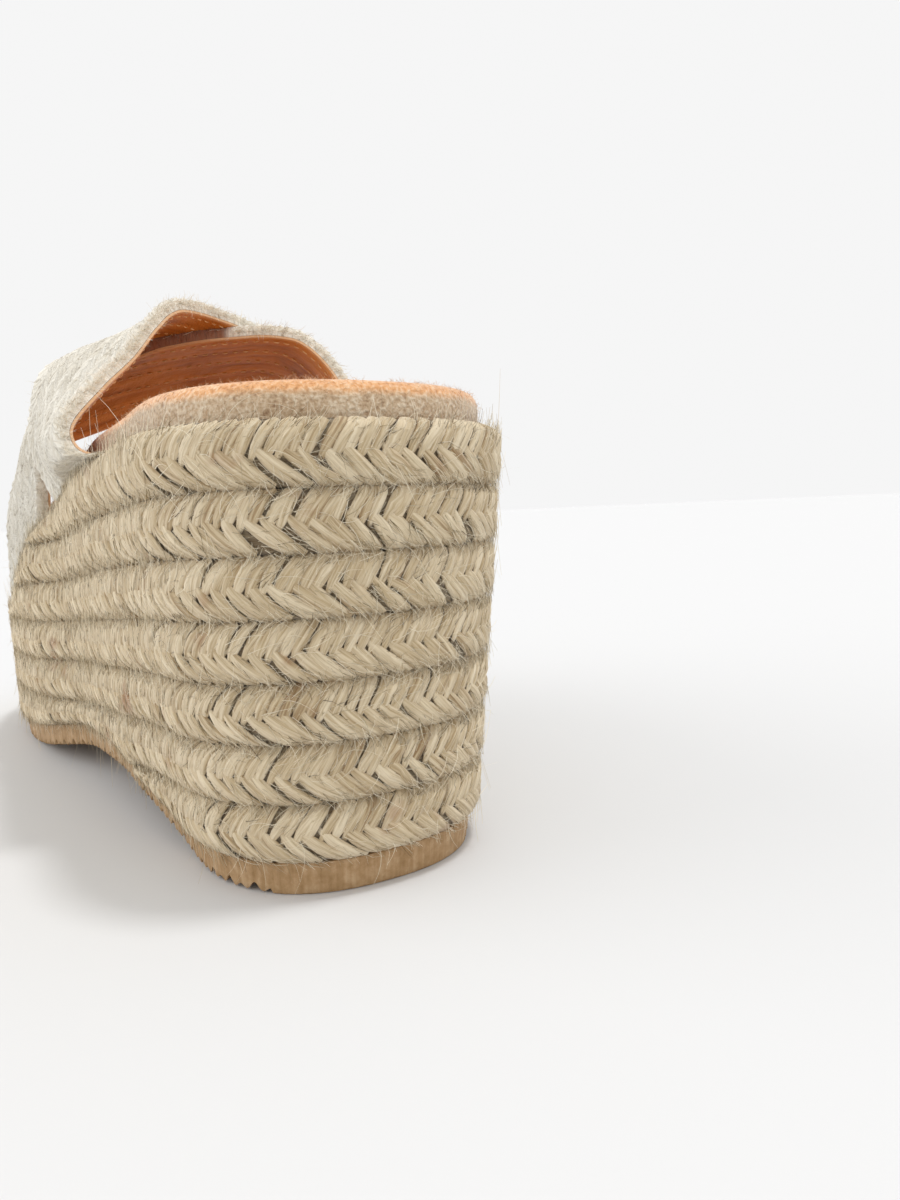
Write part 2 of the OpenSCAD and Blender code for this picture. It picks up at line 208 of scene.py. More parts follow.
def finishShape(shape, name, materials, replaced=(), angle=50):
    mesh = bpy.data.meshes.new(name)
    verts = (np.concatenate(shape["verts"]) + frameShift) / 1000
    mesh.from_pydata(verts.tolist(), [], shape["faces"])
    corner = np.zeros(len(mesh.loops), int)
    mesh.loops.foreach_get("vertex_index", corner)
    layer = mesh.uv_layers.new(name="strand")
    layer.data.foreach_set("uv", np.concatenate(shape["uv"])[corner].astype(np.float32).reshape(-1))
    for key in ("tone", "depth", "underShade"):
        attribute = mesh.attributes.new(key, "FLOAT", "POINT")
        attribute.data.foreach_set("value", np.concatenate(shape[key]).astype(np.float32))
    piece = bpy.data.objects.new(name, mesh)
    bpy.context.scene.collection.objects.link(piece)
    for material in materials:
        mesh.materials.append(material)
    mesh.polygons.foreach_set("material_index", shape["slots"])
    mesh.validate()
    bpy.ops.object.select_all(action="DESELECT")
    piece.select_set(True)
    bpy.context.view_layer.objects.active = piece
    bpy.ops.object.shade_smooth_by_angle(angle=math.radians(angle))
    piece.select_set(False)
    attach(piece, "root")
    if replaced:
        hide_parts(*replaced)
    print(name, len(mesh.polygons), "faces")
    return piece


def addFibres(shape, start, heading, lift, length, radius, tone, curl, rises, steps):
    # loose fibres: thin three-sided tubes that leave the surface along heading and bend as they go
    count = len(start)
    heading = heading / np.linalg.norm(heading, axis=1, keepdims=True)
    across = np.cross(heading, lift)
    t = np.linspace(0, 1, steps)[None, :, None]
    rise = rng.uniform(*rises, (count, 1, 1))
    sway = rng.normal(0, curl, (count, 1, 1))
    droop = rng.uniform(-0.5, 0.25, (count, 1, 1))
    size = length[:, None, None]
    middle = (start[:, None] + heading[:, None] * size * t * (1 - 0.12 * np.abs(sway) * t)
              + across[:, None] * size * sway * t**2
              + lift[:, None] * size * (rise * t + droop * rise * t**2))
    middle[..., 2] = np.maximum(middle[..., 2], 0.4)     # none goes under the floor
    thick = (radius[:, None] * (1 - 0.6 * np.linspace(0, 1, steps)))[:, :, None, None]
    angles = np.arange(3) * 2 * np.pi / 3
    ring = (across[:, None, None] * np.cos(angles)[None, None, :, None]
            + lift[:, None, None] * np.sin(angles)[None, None, :, None])
    addTubes(shape, middle[:, :, None] + ring * thick, tone=tone, slot=1)


def linear(colour):
    channels = [int(colour[i:i + 2], 16) / 255 for i in (1, 3, 5)]
    return [c / 12.92 if c <= 0.04045 else ((c + 0.055) / 1.055) ** 2.4 for c in channels] + [1.0]


def newMaterial(name):
    material = bpy.data.materials.new(name)
    material.use_nodes = True
    material.node_tree.nodes.clear()
    return material, material.node_tree


def addNode(tree, kind, settings=None, values=None, links=None, stops=()):
    # values and links are keyed by the input's name or number; a link is (node, output), and stops fill a ramp
    node = tree.nodes.new("ShaderNode" + kind)
    for key, value in (settings or {}).items():
        setattr(node, key, value)
    for key, value in (values or {}).items():
        node.inputs[key].default_value = value
    for key, (source, output) in (links or {}).items():
        tree.links.new(source.outputs[output], node.inputs[key])
    for place, colour in stops[2:]:
        node.color_ramp.elements.new(place)
    for number, (place, colour) in enumerate(stops):
        node.color_ramp.elements[number].position = place
        node.color_ramp.elements[number].color = linear(colour)
    return node


def closeMaterial(tree, values, colour=None, height=None, strength=0.0, distance=0.0):
    # every surface ends alike: its height as a bump, and its colour on one Principled shader
    links = {"Base Color": colour} if colour else {}
    if height:
        bump = addNode(tree, "Bump", links={"Height": height},
                       values={"Strength": strength, "Distance": distance})
        links["Normal"] = (bump, "Normal")
    shader = addNode(tree, "BsdfPrincipled", values=values, links=links)
    addNode(tree, "OutputMaterial", links={"Surface": (shader, "BSDF")})


multiplyAdd = {"operation": "MULTIPLY_ADD"}
blendColours = {"data_type": "RGBA"}


def juteStrandMaterial(name, gapShade, dark, middle, light, fleck, fleckScale=90.0, fleckFrom=0.63):
    # plaited jute: dull pale bast fibres that lie along each strand, with painted shade darkening the gaps
    # between the strands
    material, tree = newMaterial(name)
    uv = addNode(tree, "UVMap", {"uv_map": "strand"})       # in millimetres, along and across the strand
    fine = addNode(tree, "Mapping", values={"Scale": (0.13, 2.1, 1)}, links={"Vector": (uv, "UV")})
    fibres = addNode(tree, "TexNoise", values={"Scale": 1.0, "Detail": 5.0, "Roughness": 0.62},
                     links={"Vector": (fine, "Vector")})      # bundles of fibres 0.5 mm wide and 8 mm long
    coarse = addNode(tree, "Mapping", values={"Scale": (0.09, 0.9, 1)}, links={"Vector": (uv, "UV")})
    bundles = addNode(tree, "TexNoise", values={"Scale": 1.0, "Detail": 2.0},
                      links={"Vector": (coarse, "Vector")})      # broader changes of shade, about 1 mm wide
    tone = addNode(tree, "Attribute", {"attribute_name": "tone"})
    mixed = addNode(tree, "Math", multiplyAdd, {1: 1.5, 2: -0.6}, {0: (fibres, "Fac")})
    mixed = addNode(tree, "Math", multiplyAdd, {1: 0.4}, {0: (bundles, "Fac"), 2: (mixed, 0)})
    mixed = addNode(tree, "Math", multiplyAdd, {1: 0.42}, {0: (tone, "Fac"), 2: (mixed, 0)})
    colour = addNode(tree, "ValToRGB", links={"Fac": (mixed, 0)},
                     stops=[(0.2, dark), (0.45, middle), (0.8, light)])
    where = addNode(tree, "TexCoord")
    patches = addNode(tree, "TexNoise", values={"Scale": fleckScale, "Detail": 3.0},
                      links={"Vector": (where, "Object")})
    brown = addNode(tree, "MapRange", links={"Value": (patches, "Fac")},
                    values={"From Min": fleckFrom, "From Max": fleckFrom + 0.13, "To Max": 0.7})
    flecked = addNode(tree, "Mix", blendColours, {7: linear(fleck)},
                      {0: (brown, "Result"), 6: (colour, "Color")})
    depth = addNode(tree, "Attribute", {"attribute_name": "depth"})     # 0 in the gaps and 1 on the strands; below 0.4 it paints shade into the gaps
    gap = addNode(tree, "MapRange", values={"From Min": 0.0, "From Max": 0.4}, links={"Value": (depth, "Fac")})
    # painted shade: the gaps between the strands are mixed towards the gap shade colour
    shown = addNode(tree, "Mix", blendColours, {6: linear(gapShade)},
                    {0: (gap, "Result"), 7: (flecked, 2)})
    underShade = addNode(tree, "Attribute", {"attribute_name": "underShade"})     # painted brown shade on the under strap's edge, where the top strap lies over it
    stainsAndShade = addNode(tree, "Mix", blendColours, {7: linear("#8A4A1C")},
                      {0: (underShade, "Fac"), 6: (shown, 2)})
    dull = {"Roughness": 0.88, "Specular IOR Level": 0.2, "Sheen Weight": 0.25, "Sheen Roughness": 0.6}
    closeMaterial(tree, dull, (stainsAndShade, 2), (fibres, "Fac"), 0.9, 0.0005)
    return material


def fibreMaterial(name, stainsAndShade, dark, light):
    # single fibres that stand loose: dull, each one its own shade, and a few of them stained
    material, tree = newMaterial(name)
    tone = addNode(tree, "Attribute", {"attribute_name": "tone"})
    colour = addNode(tree, "ValToRGB", links={"Fac": (tone, "Fac")},
                     stops=[(0.0, stainsAndShade), (0.14, dark), (0.9, light)])
    closeMaterial(tree, {"Roughness": 0.7, "Specular IOR Level": 0.3, "Sheen Weight": 0.2}, (colour, "Color"))
    return material


def rubberMaterial():
    # gum rubber with a moulded matt skin: fine upright ribs with painted shade in their grooves, and small
    # specks
    material, tree = newMaterial("Moulded gum rubber")
    uv = addNode(tree, "UVMap", {"uv_map": "strand"})
    where = addNode(tree, "TexCoord")
    spots = addNode(tree, "TexNoise", values={"Scale": 420.0, "Detail": 5.0, "Roughness": 0.7},
                    links={"Vector": (where, "Object")})      # specks of 2 mm and less
    upright = addNode(tree, "Mapping", values={"Scale": (1.3, 0.06, 1)}, links={"Vector": (uv, "UV")})
    streaks = addNode(tree, "TexNoise", values={"Scale": 1.0, "Detail": 3.0},
                      links={"Vector": (upright, "Vector")})
    # painted shade: depth is 0 in the rib grooves, and the colour is darker there
    depth = addNode(tree, "Attribute", {"attribute_name": "depth"})
    mixed = addNode(tree, "Math", multiplyAdd, {1: 0.5},
                    {0: (streaks, "Fac"), 2: (spots, "Fac")})
    mixed = addNode(tree, "Math", multiplyAdd, {1: 0.1}, {0: (depth, "Fac"), 2: (mixed, 0)})
    colour = addNode(tree, "ValToRGB", links={"Fac": (mixed, 0)},
                     stops=[(0.55, "#97774F"), (0.8, "#AC8B64"), (1.0, "#BC9E7A")])
    matt = {"Roughness": 0.6, "Specular IOR Level": 0.3}
    closeMaterial(tree, matt, (colour, "Color"), (mixed, 0), 0.6, 0.0003)
    return material


def speckledMaterial(name, colours, scale, roughness, bumpDepth, stretch=(1, 1, 1), metallic=0.0):
    # a plain stuff whose colour wanders between three shades, at a grain of 1000 / scale millimetres
    material, tree = newMaterial(name)
    where = addNode(tree, "TexCoord")
    turned = addNode(tree, "Mapping", values={"Scale": stretch}, links={"Vector": (where, "Object")})
    grain = addNode(tree, "TexNoise", values={"Scale": scale, "Detail": 4.0, "Roughness": 0.6},
                    links={"Vector": (turned, "Vector")})
    colour = addNode(tree, "ValToRGB", links={"Fac": (grain, "Fac")},
                     stops=[(0.3, colours[0]), (0.5, colours[1]), (0.72, colours[2])])
    plain = {"Roughness": roughness, "Specular IOR Level": 0.35, "Metallic": metallic}
    closeMaterial(tree, plain, (colour, "Color"), (grain, "Fac"), 0.8, bumpDepth)
    return material


def suedeMaterial():
    # split suede: short napped leather, orange tan where it is rubbed on top and greyer on its side
    material, tree = newMaterial("Napped suede")
    where = addNode(tree, "TexCoord")
    nap = addNode(tree, "TexNoise", values={"Scale": 1400.0, "Detail": 3.0},
                  links={"Vector": (where, "Object")})      # tufts of 0.7 mm, coarser than real so they show
    cloud = addNode(tree, "TexNoise", values={"Scale": 130.0, "Detail": 4.0},
                    links={"Vector": (where, "Object")})    # rubbed patches of 8 mm
    depth = addNode(tree, "Attribute", {"attribute_name": "depth"})
    mixed = addNode(tree, "Math", multiplyAdd, {1: 0.8, 2: -0.05}, {0: (nap, "Fac")})
    mixed = addNode(tree, "Math", multiplyAdd, {1: 0.3}, {0: (cloud, "Fac"), 2: (mixed, 0)})
    top = addNode(tree, "ValToRGB", links={"Fac": (mixed, 0)},
                  stops=[(0.25, "#B87744"), (0.48, "#E3A871"), (0.75, "#F8D6B0")])
    side = addNode(tree, "ValToRGB", links={"Fac": (mixed, 0)},
                   stops=[(0.25, "#937355"), (0.48, "#C6AC8D"), (0.75, "#EBDCC4")])
    share = addNode(tree, "Math", multiplyAdd, {1: 0.5},
                    {0: (cloud, "Fac"), 2: (depth, "Fac")})
    blend = addNode(tree, "MapRange", values={"From Min": 0.6, "From Max": 0.95}, links={"Value": (share, 0)})
    colour = addNode(tree, "Mix", blendColours,
                     links={0: (blend, "Result"), 6: (side, "Color"), 7: (top, "Color")})
    velvety = {"Roughness": 0.95, "Specular IOR Level": 0.1, "Sheen Weight": 0.5, "Sheen Roughness": 0.5}
    closeMaterial(tree, velvety, (colour, 2), (nap, "Fac"), 0.9, 0.0006)
    return material


def leatherMaterial():
    # vegetable-tanned lining leather: warm brown, with faint pores, creases and a paler cut edge
    material, tree = newMaterial("Smooth lining leather")
    uv = addNode(tree, "UVMap", {"uv_map": "strand"})
    lengthwise = addNode(tree, "Mapping", values={"Scale": (0.05, 0.22, 1)}, links={"Vector": (uv, "UV")})
    creases = addNode(tree, "TexNoise", values={"Scale": 1.0, "Detail": 6.0, "Distortion": 0.6},
                      links={"Vector": (lengthwise, "Vector")})      # creases 20 mm long and 5 mm apart
    grain = addNode(tree, "TexVoronoi", values={"Scale": 1.6}, links={"Vector": (uv, "UV")})   # 0.6 mm pores
    depth = addNode(tree, "Attribute", {"attribute_name": "depth"})
    colour = addNode(tree, "ValToRGB", links={"Fac": (creases, "Fac")},
                     stops=[(0.28, "#98571C"), (0.5, "#BE7830"), (0.75, "#D49148")])
    edge = addNode(tree, "Mix", blendColours, {7: linear("#D9AE84")},
                   {0: (depth, "Fac"), 6: (colour, "Color")})
    height = addNode(tree, "Math", multiplyAdd, {1: -0.12},
                     {0: (grain, "Distance"), 2: (creases, "Fac")})
    smoothed = {"Roughness": 0.52, "Specular IOR Level": 0.35}
    closeMaterial(tree, smoothed, (edge, 2), (height, 0), 0.7, 0.0009)
    return material


# colours run from the painted shade of the deepest gap to the lightest fibre, then the brown flecks that
# unbleached bast has
braidJute = juteStrandMaterial("Plaited jute", "#3E2C18", "#977A55", "#C4AF8B", "#E6D6B8", "#96643A")
braidFibre = fibreMaterial("Loose jute fibre", "#3F2C16", "#8C7852", "#EFE5CE")
# the straps' jute is bleached: nearly white, with small grey flecks in place of brown ones
strapJute = juteStrandMaterial("Bleached woven jute", "#7F7362", "#AFA48F", "#D8D0BF", "#F3EEE2", "#9F927C",
                               fleckScale=700.0, fleckFrom=0.57)
strapFibre = fibreMaterial("Loose bleached fibre", "#A89A80", "#D8CDB6", "#F5F0E4")
gumRubber = rubberMaterial()
suedeNap = fibreMaterial("Raised suede nap", "#8A5E38", "#B48A62", "#EBCDA8")
lining = leatherMaterial()
suede = suedeMaterial()
# twisted thread with wax on it: tan and a little smoother than the leather that it is sewn through
thread = speckledMaterial("Waxed thread", ["#B98A5A", "#D9B07E", "#EBCDA2"], 900, 0.55, 0.0001)
hiddenMaterials = {
    # closed-cell foam from a mould: matt and pale cream, with a faint grain
    "wedge_core": speckledMaterial("Moulded EVA foam", ["#CDBE9F", "#D9CDB4", "#E3D9C4"], 500, 0.8, 0.0003),
    # crumbs of cork bound into a sheet: brown, dull, with light and dark crumbs
    "bottom_filler": speckledMaterial("Ground cork", ["#7D5F3C", "#A88B63", "#C4A77E"], 600, 0.9, 0.0004),
    # wood fibre pressed hard: an even dull tan, its grain shorter along the sole than across it
    "insole_board": speckledMaterial("Pressed fibreboard", ["#A98C63", "#B79B73", "#C6AC86"], 400, 0.85, 0.0002,
                                     stretch=(1, 4, 1)),
    # cold-rolled steel: grey with a soft gloss, and fine roller marks along it
    "shank": speckledMaterial("Rolled spring steel", ["#83878C", "#8D9196", "#989CA1"], 300, 0.35, 0.00005,
                              stretch=(8, 1, 1), metallic=1.0),
    # thin bright zinc: paler, warmer and glossier than the bare steel beside it
    "shank_rivets": speckledMaterial("Zinc-plated steel", ["#A8A49A", "#B8B4AA", "#C6C2B9"], 400, 0.3, 0.00005,
                                     metallic=1.0),
    # soft foam with open cells of 1 mm: cream, with no gloss at all
    "footbed_foam": speckledMaterial("Open-cell foam", ["#D6CAAE", "#E5DCC6", "#EFE8D7"], 900, 0.95, 0.0005),
}
for node, material in hiddenMaterials.items():
    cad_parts[node].data.materials.clear()
    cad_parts[node].data.materials.append(material)
print("materials made")

# each row is a flat plait of jute on edge, two halves of slanting strands that meet in its middle
braid = {
    "upperPitch": 2.15, "lowerPitch": 3.4,      # between strands in the upper and lower half of a plait
    "upperAngle": 50, "lowerAngle": 34,         # lean of the strands from the row's direction, in degrees
    "upperRise": 0.38, "lowerRise": 0.52,       # how high a strand stands over the band behind it
    "width": [1.2, 1.6],                        # share of the pitch, so that neighbours overlap
    "unevenPitch": 0.09, "unevenLean": 0.07,    # what makes one strand differ from the next
    "strandRows": 7, "least": 0.9,              # rings along a strand, and the lowest half row that has any
    "valley": -0.5, "bandStep": 2.2,            # the band behind the strands, from the wall's face
    "tuck": 0.28,                               # how far a strand starts past the plait's middle line
    "fibres": [     # long strays, then the short down; amount is for each square millimetre
        {"amount": 0.13, "length": [2.5, 8], "thick": 0.065, "curl": 0.8, "rises": (0.0, 0.26), "stray": 0.7,
         "darkest": 0.5, "steps": 5},
        {"amount": 1.2, "length": [1.5, 4.0], "thick": 0.055, "curl": 0.3, "rises": (-0.03, 0.14), "stray": 0.3,
         "darkest": 0, "steps": 3},
    ],
}


def rowLimits(row):
    # the lower and upper edge of a row, which is pinched out where the wedge is too thin for it
    def limit(line):
        def height(x, y, side):
            z, bottom, top = seamZ(line, y, side), rubberZ(x, y), topZ(y)
            least = sole["leastRow"]
            return np.where(z < bottom + least, bottom, np.where(z > top - least, top, z))
        return height

    return limit(row), limit(row - 1)


def rowPoint(path, limits, along, t, out):
    # t is -1 at the lower seam and 1 at the upper; out is the distance out from the wall's face
    q = np.interp(along, path["along"], path["q"])
    low, high = limits
    share = (t + 1) / 2
    p = wallPoint(q, 0.0, lambda x, y, side: low(x, y, side) * (1 - share) + high(x, y, side) * share)
    p[..., 0] += np.interp(along, path["along"], path["out"][:, 0]) * out
    p[..., 1] += np.interp(along, path["along"], path["out"][:, 1]) * out
    return p


def roundOff(t):
    return -sole["bulge"] * np.abs(t) ** 6


def addStrands(shape, path, limits, heights, begin, end, half):
    way = 1 if half == "upper" else -1
    pitch, angle = braid[half + "Pitch"], math.radians(braid[half + "Angle"])
    centre = np.arange(begin, end, pitch)
    centre = centre + rng.normal(0, braid["unevenPitch"] * pitch, len(centre))
    tall = np.interp(centre, path["along"], heights) / 2
    centre, tall = centre[tall > braid["least"]], tall[tall > braid["least"]]
    count = len(centre)
    v = np.linspace(0, 1, braid["strandRows"])[None, :, None]
    lean = tall[:, None, None] / np.tan(angle + rng.normal(0, braid["unevenLean"], (count, 1, 1)))
    wide = 0.5 * pitch * math.sin(angle) * rng.uniform(*braid["width"], (count, 1, 1))
    fat = wide * (0.45 + 0.55 * smooth(v / 0.5 + 0.05))
    rise = braid[half + "Rise"] * rng.uniform(0.8, 1.2, (count, 1, 1))
    envelope = smooth(v / 0.35 + 0.12) * (1 - 0.2 * smooth((v - 0.75) / 0.25))      # it dives at both ends
    turn = np.array([1, 0.8, 0.62, 0.4, 0.2, 0, -0.5])[None, None, :] * np.pi       # round a strand, back last
    w = np.cos(turn)
    up = np.where(turn < 0, -1.0, np.sin(turn)) + 0.18 * w * np.where(turn < 0, 0, 1)
    length = lean * (v - 0.08 * np.sin(np.pi * v))
    a = centre[:, None, None] + length - w * fat * math.sin(angle) * way
    t = way * (-braid["tuck"] + (1.06 + braid["tuck"]) * v)
    t = np.clip(t + w * fat * math.cos(angle) / tall[:, None, None], -1.07, 1.07)
    out = roundOff(t) + braid["valley"] + 0.25 + (rise + 0.3) * envelope * up
    points = rowPoint(path, limits, a, t, out)
    uv = np.stack(np.broadcast_arrays(v * 7.0 + rng.uniform(0, 900, (count, 1, 1)),
                                      w * fat + rng.uniform(0, 900, (count, 1, 1))), -1)
    # painted shade: depth falls to 0 where a strand dives at its ends and round its sides and back, which
    # darkens it there
    depth = np.clip(envelope * np.clip(up, 0, 1) ** 0.8, 0, 1)
    tone = np.clip(rng.normal(0.5, 0.17, count), 0, 1)
    addTubes(shape, points, uv, tone, depth)


def makeBraid(row):
    shape = newShape()
    limits = rowLimits(row)
    low, high = limits
    path = evenPath(lambda x, y, side: (low(x, y, side) + high(x, y, side)) / 2, 1.5)
    heights = (wallPoint(path["q"], 0.0, high) - wallPoint(path["q"], 0.0, low))[:, 2]
    shown = np.nonzero(heights > sole["leastRow"] * 0.55)[0]
    begin, end = path["along"][shown[0]], path["along"][shown[-1]]
    whole = len(shown) == len(heights)
    stations = np.arange(begin, end, braid["bandStep"])
    profile = np.array([[-0.98, 0], [-0.7, 0], [0, 0], [0.7, 0], [0.98, 0], [0.98, 1], [-0.98, 1]])
    a = np.broadcast_to(stations[:, None], (len(stations), len(profile)))
    t = np.broadcast_to(profile[:, 0], a.shape)
    back = np.broadcast_to(profile[:, 1], a.shape)      # 1 on the face glued to the core
    out = np.where(back > 0, -sole["braidDepth"], roundOff(t) + braid["valley"])
    band = rowPoint(path, limits, a, t, out)[None]
    # painted shade: the band behind the strands takes mostly the gap shade colour
    addTubes(shape, band, uv=np.stack([a, t * 5], -1)[None], tone=0.3, depth=0.15, ring=whole)
    addStrands(shape, path, limits, heights, begin, end, "upper")
    addStrands(shape, path, limits, heights, begin, end, "lower")
    area = (end - begin) * heights[shown].mean()
    for kind in braid["fibres"]:
        count = int(area * kind["amount"])
        at = rng.uniform(begin, end, count)
        t = rng.uniform(-1, 1, count)
        rest = roundOff(t) + rng.uniform(0.05, 0.42, count)
        start = rowPoint(path, limits, at, t, rest)
        ahead = rowPoint(path, limits, at + 1.0, t, rest)
        slant = np.where(t > 0, math.radians(braid["upperAngle"]), -math.radians(braid["lowerAngle"]))
        slant = slant + rng.normal(0, kind["stray"], count)
        heading = (ahead - start) * np.cos(slant)[:, None] + np.array([0, 0, 1.0]) * np.sin(slant)[:, None]
        lift = np.stack([np.interp(at, path["along"], path["out"][:, 0]),
                         np.interp(at, path["along"], path["out"][:, 1]), np.zeros(count)], -1)
        addFibres(shape, start, heading, lift, rng.uniform(*kind["length"], count),
                  rng.uniform(0.7, 1.2, count) * kind["thick"], rng.uniform(kind["darkest"], 1, count),
                  curl=kind["curl"], rises=kind["rises"], steps=kind["steps"])
    finishShape(shape, "braid_row_%d" % row, [braidJute, braidFibre], ["jute_braid_%d" % row])


for row in range(1, sole["heelRows"] + 1):
    makeBraid(row)
print("braid rows made")

# the rubber has fine upright ribs on its wall and grooves across its tread, which scallop its lower edge
tread = {
    "spacing": 0.42, "groovePitch": 6.0, "grooveDepth": 1.8, "firstGroove": 11,
    "ribPitch": 1.7, "ribDepth": 0.13, "waviness": 0.06,
    # inset, height and share of the grooves' depth, from under the sole, up its wall, to its upper face
    "levels": [(3.0, 0.0, 1.0), (0.6, 0.0, 1.0), (0.12, 0.16, 1.0), (0.0, 0.5, 0.8), (0.0, 1.6, 0.45),
               (0.0, 3.0, 0.2), (0.0, 4.6, 0.0), (0.0, 5.5, 0.0), (0.15, 5.85, 0.0), (0.6, 5.95, 0.0)],
}


def makeOutsole():
    shape = newShape()
    path = evenPath(lambda x, y, side: floorZ(x, y) + 3, tread["spacing"], sole["outsoleInset"])
    half = path["q"][(path["q"] > 1e-4) & (path["q"] < 0.9999)]
    ring = np.concatenate([[-1.0], -half[::-1], [0.0], half])      # from the toe along the outer side and back
    plan = wallPoint(ring, sole["outsoleInset"], lambda x, y, side: 0 * x)[:, :2]
    arc = np.concatenate([[0], np.cumsum(np.linalg.norm(np.diff(plan, axis=0), axis=1))])
    ribs = tread["ribDepth"] * (0.5 + 0.5 * np.cos(2 * np.pi * arc / tread["ribPitch"]))
    ribs = ribs + tread["waviness"] * np.sin(arc * 0.9)
    at = (sole["length"] * np.abs(ring) - tread["firstGroove"]) / tread["groovePitch"]
    wave = 0.5 * np.cos(2 * np.pi * at)
    groove = (0.5 + wave) ** 4 * tread["grooveDepth"]
    groove = (groove + (0.5 - wave) ** 4 * tread["grooveDepth"] * 0.5) * (at > -0.5)     # a shallow one between
    rings = []
    for inset, rise, cut in tread["levels"]:
        depth = ribs if 0.3 < rise < 5.6 else 0
        rings.append(wallPoint(ring, sole["outsoleInset"] + inset + depth,
                               lambda x, y, side: floorZ(x, y) + rise + groove * cut * (1 - rise / 6)))
    points = np.stack(rings)[None]      # rings are the rows, and the ends are filled across the sole
    rises = np.array([rise for _, rise, _ in tread["levels"]])
    uv = np.stack(np.broadcast_arrays(arc[None], rises[:, None]), -1)
    # painted shade: depth is 0 in the rib grooves, which darkens them
    addTubes(shape, points, uv[None], depth=1 - ribs[None, None] / tread["ribDepth"])
    finishShape(shape, "moulded_outsole", [gumRubber], ["outsole"], angle=60)


makeOutsole()

footbed = {"inset": 4.4, "thick": 0.8, "boardZ": 1.35, "coverZ": 5.9, "crown": 0.5, "stations": 260,
           "across": 26, "rim": 11, "nap": 5200, "napLength": [0.4, 1.1], "napThick": [0.03, 0.055]}


def makeFootbed():
    shape = newShape()
    a = np.linspace(0, 1, footbed["stations"] + 1)
    s = (1 - np.cos(np.pi * a)) / 2 + 1e-9      # closer at heel and toe, where the outline turns
    board, top = footbed["boardZ"] + 0.3, footbed["coverZ"] + footbed["thick"]
    # inset, height over the wedge's top face, and how far the colour is that of the rubbed top
    outer = [(-0.18, 0.25, 0), (-0.28, 1.4, 0.05), (-0.35, board + 1.6, 0.2), (-0.25, top - 2.3, 0.48),
             (0.0, top - 1.4, 0.72), (0.5, top - 0.7, 0.9), (1.3, top - 0.2, 1.0)]
    under = [(-0.06, 0.25, 0), (-0.06, 1.45, 0), (footbed["thick"], board, 0),
             (footbed["thick"], footbed["coverZ"] - 1.2, 0), (1.9, footbed["coverZ"], 0)]
    cols, depth = [], []

    def addLines(way, lines):
        for inset, height, tint in lines:
            cols.append(wallPoint(way * s, footbed["inset"] + inset, lambda x, y, side: topZ(y) + height))
            depth.append(np.full(len(s), float(tint)))

    addLines(-1, outer)
    left = wallPoint(-s, footbed["inset"] + 2.8, lambda x, y, side: topZ(y) + top)
    right = wallPoint(s, footbed["inset"] + 2.8, lambda x, y, side: topZ(y) + top)
    for f in np.linspace(0, 1, footbed["across"]):
        p = left * (1 - f) + right * f
        p[:, 2] += footbed["crown"] * np.sin(np.pi * f) ** 0.7 * smooth(a * 12) * smooth((1 - a) * 12)
        cols.append(p)
        depth.append(np.full(len(s), 1.0))
    addLines(1, outer[::-1])
    addLines(1, under)
    addLines(-1, under[::-1])
    points = np.stack(cols, 1)[None]
    addTubes(shape, points, depth=np.stack(depth, 1)[None])

    skin = points[0]
    shown = skin.shape[1] - 2 * len(under)
    rim = [c for c in range(shown) if c < footbed["rim"] or c > shown - footbed["rim"] - 1]
    count = footbed["nap"]
    i, c = rng.integers(2, len(s) - 3, count), rng.choice(rim, count)
    f = rng.uniform(0, 1, (count, 1))
    start = skin[i, c] * (1 - f) + skin[i + 1, c] * f
    side = skin[i, (c + 1) % skin.shape[1]] - skin[i, c]
    start = start + side * rng.uniform(0, 1, (count, 1))
    lift = np.cross(skin[i + 1, c] - skin[i, c], side)
    lift = lift / np.linalg.norm(lift, axis=1, keepdims=True)
    fromMiddle = (start - skin.mean((0, 1))) * [1, 0, 1]
    lift = lift * np.sign(np.sum(lift * fromMiddle, 1, keepdims=True))
    heading = rng.normal(0, 1, (count, 3)) + lift * 0.9
    addFibres(shape, start - lift * 0.05, heading, lift, rng.uniform(*footbed["napLength"], count),
              rng.uniform(*footbed["napThick"], count), rng.uniform(0, 1, count),
              curl=0.4, rises=(0.1, 0.5), steps=3)
    piece = finishShape(shape, "suede_footbed", [suede, suedeNap], ["footbed_cover"], angle=60)


makeFootbed()
print("sole made")

# two crossed straps, side -1 for the top one, which starts at the outer rear, and 1 for the one under it
strap = {
    "height": 36.5, "rear": {-1: 52, 1: 66}, "width": {-1: 60, 1: 49}, "front": 128, "frontWidth": 41, "bow": 4,
    "lining": 0.8, "tape": 0.3, "weave": 1.4, "gap": 0.18, "clear": 0.4, "crossing": 0.55, "ramp": 0.1,
    "margin": 10, "turnIn": 0.12, "bedInset": 3.6,     # the lining's margin lies on the wedge's top face
    "instepX": [-1, -1.06, -0.84, -0.575, -0.38, -0.19, 0.03, 0.35, 0.6, 0.8, 0.87, 0.965, 1],
    "instepZ": [0, 0.09, 0.335, 0.58, 0.79, 0.955, 0.995, 1, 0.94, 0.68, 0.4, 0.18, 0],
    "ballX": [-1, -1, -0.93, -0.75, -0.52, -0.27, 0, 0.27, 0.52, 0.75, 0.93, 1, 1],
    "ballZ": [0, 0.42, 0.8, 0.97, 1.01, 1.03, 1.03, 1.02, 1, 0.95, 0.8, 0.42, 0],
    "changeY": [70, 130],                   # between these the arch changes from the instep's to the ball's
    "plait": 9.4, "strandPitch": 2.4, "strandLean": 38,
    "juteGrid": (250, 84), "liningGrid": (180, 50), "tapeGrid": (120, 24),     # stations along and across
    "face": 2700, "rearEdge": 2000, "frontEdge": 800,      # loose fibres in each place
    "stitch": 1.8, "stitchGap": 0.9, "stitchRow": 9, "stitchMargin": 3, "stitchEnds": [0.07, 0.93],
}
strapThick = strap["lining"] + strap["tape"] + strap["weave"] + 2 * strap["gap"]
strapLift = strapThick + strap["gap"] + strap["crossing"]
